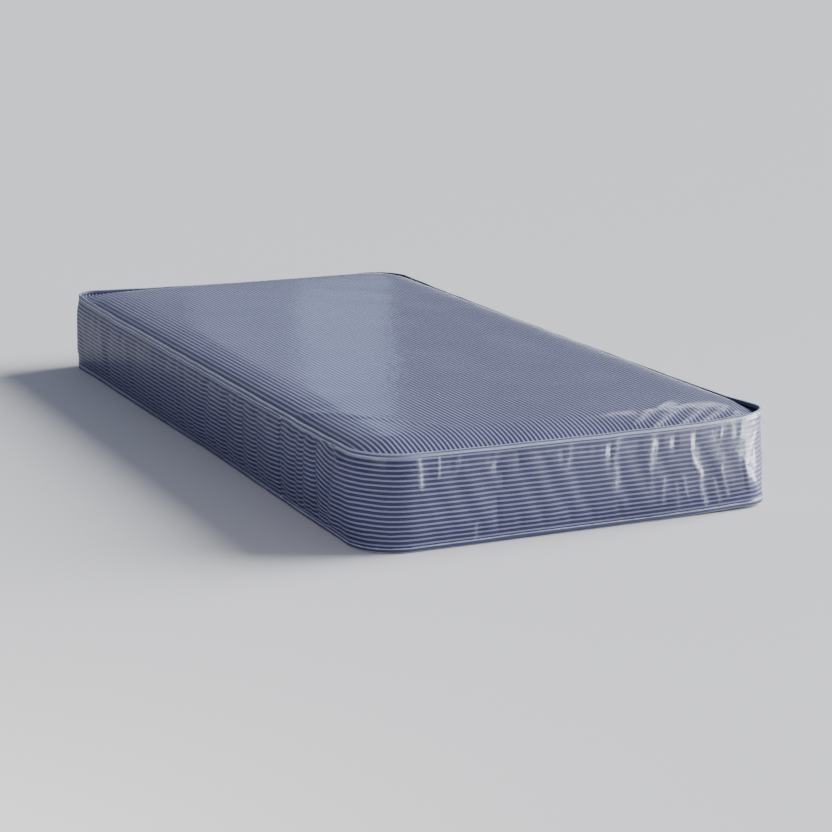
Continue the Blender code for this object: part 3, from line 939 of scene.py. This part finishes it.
def build_base_panel(material):
    """The base panel, facing down, with its edge turned down into the tape."""
    grid = PanelGrid(PANEL_INSET, BASE_RADII, cell=0.02)
    lifted = grid.follow(lambda distance: lean(distance, 0.0), base_lift)
    roll = 0.012 * (1 - smooth(grid.inset, PANEL_INSET, PANEL_INSET + 0.030))
    slack = 0.00005 * (1 + wobble(grid.flat.sum(1), (0.21, 0.13), 41))
    flange_end = BASE_TAPE_BOTTOM + TAPE + 2 * GAP + base_lift(grid.distance)
    points, faces = close_flange(grid, roll + slack + lifted, flange_end)
    return panel_piece("base_panel_cover", points, [face[::-1] for face in faces], material)


FIBRE_PAD_INSET = RIM[0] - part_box("top_fibre_pad")[1].x

# Edge height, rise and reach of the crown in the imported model, and how far the pad lies below it.
PACKED_CROWN = (0.178, 0.031, 0.035)
PAD_DEPTH = 0.0088


def build_fibre_pad(material):
    """The fibre pad under the top panel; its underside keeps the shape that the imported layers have."""
    rings = [ring for ring in PANEL_RINGS if ring < 0.062]
    grid = PanelGrid(FIBRE_PAD_INSET, PLAIN_RADII, cell=0.018, rings=rings)
    x, y = grid.flat.T
    edge, rise, reach = PACKED_CROWN
    underside = edge + rise * (1 - np.exp(-(grid.inset - PANEL_INSET) / reach)) - PAD_DEPTH
    underside = np.minimum(underside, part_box("fire_barrier_top")[1].z + 0.0004)
    top = np.maximum(crown(x, y, grid.inset) - TICKING - 0.0007, underside + 0.0003)
    count = len(grid.stations)
    total = len(grid.flat)
    points = np.concatenate([np.column_stack([grid.flat, top]), np.column_stack([grid.flat, underside])])
    faces = grid.faces + [[total + index for index in face[::-1]] for face in grid.faces]
    faces += [[k, total + k, total + (k + 1) % count, (k + 1) % count] for k in range(count)]
    uvs = np.zeros((sum(len(face) for face in faces), 2))
    return store("top_fibre_pad_layer", points, faces, uvs, material)


# -------- tapes and stitches

TAPE_STEP = 0.0060


def tape_section():
    """The tape's outer line over the rim, as (outward, down) points from outside bottom to inside."""
    outer = GAP + TAPE
    inner = -(PANEL_INSET + GAP + TAPE)
    middle = (outer + inner) / 2
    radius = (outer - inner) / 2
    drop = radius * 1.15
    leg = [(outer, down) for down in np.linspace(TAPE_HEIGHT, drop, 7)]
    angles = math.pi * np.arange(1, 12) / 12
    turn = [(middle + radius * math.cos(a), drop * (1 - math.sin(a))) for a in angles]
    inner_leg = [(inner, down) for down in np.linspace(drop, 0.0088, 4)]
    return np.array(leg + turn + inner_leg)


def build_tape(name, edge, inward, share, lift_of, material):
    """A binding folded over the rim; edge is its far height and inward the direction of its legs."""
    section = tape_section()
    rows = int(RIM_LENGTH / TAPE_STEP)
    distance = np.linspace(0, RIM_LENGTH, rows, endpoint=False)
    points, normals = rim(distance, share)
    pinch = 0.00025 * wobble(distance, (0.012, 0.017, 0.041), 51, RIM_LENGTH)[:, None]
    belly = np.sin(np.clip(section[:, 1] / TAPE_HEIGHT, 0, 1) * math.pi)[None, :]
    side = np.where(section[:, 0] > 0, 1.0, 0.0)[None, :]
    outward = section[None, :, 0] + lean(distance, share)[:, None] + side * belly * (0.0007 + pinch)
    height = edge + lift_of(distance)[:, None] + inward * section[None, :, 1]
    shape = spread(points[:, None], normals[:, None], outward, height)
    steps = np.linalg.norm(np.diff(section, axis=0), axis=1)
    across = np.concatenate([[0], np.cumsum(steps)])
    lengths = np.linspace(0, RIM_LENGTH, rows + 1)
    uvs = np.stack(np.broadcast_arrays(across[None, :], lengths[:, None]), -1)
    if inward > 0:
        shape = shape[:, ::-1]
        uvs = uvs[:, ::-1]
    return grid_piece(name, shape, uvs, material, wrap_rows=True)


STITCH_PITCH = 0.0080
STITCH_LENGTH = 0.0058
STITCH_RADIUS = 0.00038
STITCH_SIDES = 6


def build_stitches(name, edge, inward, share, lift_of, material):
    """Separate stitches round the rim, each a short rod that dips into the tape at its ends."""
    count = int(RIM_LENGTH / STITCH_PITCH)
    shares = np.linspace(-1, 1, 7)
    centres = (np.arange(count) + 0.5) * RIM_LENGTH / count
    distance = (centres[:, None] + shares * STITCH_LENGTH / 2) % RIM_LENGTH
    points, normals = rim(distance, share)
    outward = GAP + TAPE + lean(distance, share) + 0.00020 - 0.00075 * np.abs(shares) ** 3
    height = edge + lift_of(distance) + inward * (TAPE_HEIGHT - 0.0035) + 0.00025 * shares
    thick = STITCH_RADIUS * np.sqrt(np.clip(1.02 - shares**2, 0.08, 1))[None, :, None]
    angles = np.arange(STITCH_SIDES) * 2 * math.pi / STITCH_SIDES
    out = outward[..., None] + thick * np.cos(angles)
    up = height[..., None] + thick * np.sin(angles)
    verts = spread(points[:, :, None], normals[:, :, None], out, up)
    here = np.arange(count * len(shares) * STITCH_SIDES).reshape(count, len(shares), STITCH_SIDES)
    after = np.roll(here, -1, axis=2)
    sides = np.stack([after[:, :-1], after[:, 1:], here[:, 1:], here[:, :-1]], -1)
    faces = sides.reshape(-1, 4).tolist() + here[:, 0].tolist() + here[:, -1, ::-1].tolist()
    uvs = np.zeros((sum(len(face) for face in faces), 2))
    return store(name, verts.reshape(-1, 3), faces, uvs, material)


# -------- inside pieces


def build_join(material):
    """The two sewn-in edges of the border at its join: two plies, side by side, turned inwards."""
    share = np.linspace(0.085, 0.88, 30)
    height = BORDER_BOTTOM + (BORDER_TOP - BORDER_BOTTOM) * share
    half = [(0.0006, 0.0016), (0.0050, 0.0018), (0.0095, 0.0019), (0.0095, 0.0032), (0.0040, 0.0033)]
    section = np.array(half + [(0.0, 0.0034)] + [(-out, deep) for out, deep in reversed(half)])
    full = np.clip(1 - np.abs(2 * share - 1) ** 2.6, 0, 1) ** 0.75 * BULGE
    x = -RIM[0] - full[:, None] * 0.8 + section[None, :, 1]
    y = SEAM_Y + section[None, :, 0] + 0 * x
    shape = np.stack([x, y, height[:, None] + 0 * x], -1)
    columns = np.arange(len(section) + 1) * 0.002
    uvs = np.stack(np.broadcast_arrays(height[:, None], columns[None, :]), -1)
    return grid_piece("border_join_allowance", shape, uvs, material, wrap_columns=True, capped=True)


# -------- build

top_ticking = ticking_material("ticking_top")
# Its darker pale lines are painted shade on the sides.
border_ticking = ticking_material("ticking_border", coat=0.18, pale=SHADED_BORDER_PALE)
base_ticking = ticking_material("ticking_base", coat=0.5)
binding = tape_material()
thread = thread_material()
wadding_white = fibre_material("polyester_wadding", (0.86, 0.86, 0.84), 160.0, 0.0012, 0.95)

top_rim = (RIM_TOP, -1, 1.0, top_lift)
base_rim = (BASE_TAPE_BOTTOM, 1, 0.0, base_lift)
top_panel = build_top_panel(top_ticking)
base_panel = build_base_panel(base_ticking)
border = build_border(border_ticking)
wadding = build_wadding(wadding_white)
fibre_pad = build_fibre_pad(wadding_white)
top_tape = build_tape("top_tape_binding", *top_rim, binding)
base_tape = build_tape("base_tape_binding", *base_rim, binding)
for piece in (top_panel, base_panel, border):
    give_thickness(piece, TICKING)
for piece in (top_tape, base_tape):
    give_thickness(piece, TAPE)

for piece, node, slot in (
    (top_panel, "top_panel", "ticking"),
    (base_panel, "base_panel", "ticking"),
    (border, "side_border", "ticking"),
    (wadding, "border_wadding", "wadding"),
    (fibre_pad, "top_fibre_pad", "wadding"),
    (top_tape, "top_edge_tape", "edge_tape"),
    (base_tape, "base_edge_tape", "edge_tape"),
    (build_stitches("top_tape_stitches", *top_rim, thread), "top_tape_thread", "thread"),
    (build_stitches("base_tape_stitches", *base_rim, thread), "base_tape_thread", "thread"),
    (build_join(border_ticking), "border_join_seam", "ticking"),
):
    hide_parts(node)
    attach(piece, "root")

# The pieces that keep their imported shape: cloth and felt, and foams from soft to firm.
barrier_cloth = fibre_material("barrier_cloth", (0.74, 0.71, 0.62), 900.0, 0.0003, 0.85)
firm_foam = foam_material("firm_foam", (0.26, 0.34, 0.46), 0.0010)
inside = {
    "fire_barrier_side": barrier_cloth,
    "base_felt_pad": fibre_material("needled_felt", (0.30, 0.31, 0.32), 300.0, 0.0006, 0.95),
    "visco_topper": foam_material("visco_foam", (0.80, 0.74, 0.55), 0.0008),
    "head_zone_foam": foam_material("head_foam", (0.38, 0.57, 0.68), 0.0012),
    "torso_zone_foam": foam_material("torso_foam", (0.60, 0.66, 0.38), 0.0012),
    "heel_zone_foam": foam_material("heel_foam", (0.76, 0.48, 0.36), 0.0014),
    "side_bolster_left": firm_foam,
    "core_base_slab": foam_material("base_foam", (0.62, 0.62, 0.60), 0.0013),
    "fire_barrier_top": barrier_cloth,
    "fire_barrier_base": barrier_cloth,
    "side_bolster_right": firm_foam,
    "end_bolster_head": firm_foam,
    "end_bolster_foot": firm_foam,
}
for name, material in inside.items():
    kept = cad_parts[name].data.materials
    kept.clear()
    kept.append(material)

# -------- floor, lights and camera


def build_floor():
    """A wide pale floor that fills the view."""
    half = 60.0
    mesh = bpy.data.meshes.new("floor")
    corners = [(half * x, half * y, 0) for x, y in ((-1, -1), (1, -1), (1, 1), (-1, 1))]
    mesh.from_pydata(corners, [], [(0, 1, 2, 3)])
    pale_grey = rgba((0.67, 0.67, 0.675))
    shader = Shader("floor")
    mesh.materials.append(shader.finish(Base_Color=pale_grey, Roughness=0.8, Specular_IOR_Level=0.1))
    floor = bpy.data.objects.new("floor", mesh)
    floor.location.z = -0.0002
    bpy.context.scene.collection.objects.link(floor)
    floor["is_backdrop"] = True


def place_light(name, data, place, aim):
    """A light at a place, facing aim and hidden from the camera."""
    light = bpy.data.objects.new(name, data)
    light.location = place
    light.rotation_mode = "QUATERNION"
    light.rotation_quaternion = (Vector(aim) - Vector(place)).to_track_quat("-Z", "Y")
    light.visible_camera = False
    bpy.context.scene.collection.objects.link(light)
    return light


def softbox(name, place, aim, width, height, power, colour, gloss_only=False):
    """A rectangular light facing aim; a gloss-only one is seen in surfaces' shine alone."""
    data = bpy.data.lights.new(name, "AREA")
    data.shape = "RECTANGLE"
    data.size = width
    data.size_y = height
    data.energy = power
    data.color = colour
    light = place_light(name, data, place, aim)
    light.visible_diffuse = not gloss_only


def build_sun(direction, strength, angle):
    """A broad, soft, low sun."""
    data = bpy.data.lights.new("sky", "SUN")
    data.energy = strength
    data.angle = math.radians(angle)
    place_light("sky", data, direction, (0, 0, 0))


def build_world():
    """A faint bluish light from all round."""
    world = bpy.data.worlds.new("studio")
    world.use_nodes = True
    background = world.node_tree.nodes["Background"]
    background.inputs["Color"].default_value = rgba((0.82, 0.88, 1.16))
    background.inputs["Strength"].default_value = 0.30
    bpy.context.scene.world = world


def build_camera():
    """Stands at the foot, to the left, a little above the mattress."""
    data = bpy.data.cameras.new("camera")
    data.sensor_width = 36.0
    data.lens = 99.06
    data.clip_start = 0.1
    data.clip_end = 120.0
    camera = bpy.data.objects.new("camera", data)
    azimuth = math.radians(-24.58)
    elevation = math.radians(13.24)
    level = math.cos(elevation)
    ahead = Vector((-math.sin(azimuth) * level, math.cos(azimuth) * level, -math.sin(elevation)))
    camera.location = (-2.0581, -4.6894, 1.2315)
    camera.rotation_mode = "QUATERNION"
    camera.rotation_quaternion = ahead.to_track_quat("-Z", "Y")
    bpy.context.scene.collection.objects.link(camera)
    bpy.context.scene.camera = camera


WHITE = (1.0, 1.0, 1.0)
WARM = (1.0, 0.94, 0.86)
COOL = (0.94, 0.96, 1.0)
BLUE = (0.48, 0.62, 1.0)
MIDDLE = (0.10, 0.30, 0.20)

build_floor()
build_world()
build_sun((0.89, -0.10, 0.44), 9.0, 42)
softbox("fill_left", (-1.90, -2.10, 0.60), (-0.45, -0.80, 0.10), 1.2, 0.7, 12, WARM)
softbox("window_right", (2.90, -2.30, 0.46), (0.45, -0.95, 0.12), 2.2, 0.8, 30, WHITE)

# What the coating mirrors: two panels behind the head, and a box, a window and a card by the near
# right corner.
for light in (
    ("panel_behind", (1.82, 4.56, 1.60), MIDDLE, 0.42, 1.5, 1.2, BLUE),
    ("panel_behind_side", (1.39, 4.71, 1.60), MIDDLE, 0.5, 1.5, 0.5, BLUE),
    ("corner_box", (2.50, 2.10, 1.90), (0.30, -0.85, 0.20), 0.8, 0.8, 4, (0.90, 0.94, 1.0)),
    ("corner_window", (1.81, -1.87, 0.44), (0.45, -0.95, 0.44), 1.5, 0.86, 270, COOL),
    ("corner_card", (0.98, -1.23, 0.004), (0.9801, -1.23, 1.0), 0.62, 0.62, 90, COOL),
):
    softbox(*light, gloss_only=True)
build_camera()

visual_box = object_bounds()
sizes = {"cad": cad_box, "visual": visual_box}
{key: [list(corner) for corner in box] for key, box in sizes.items()}
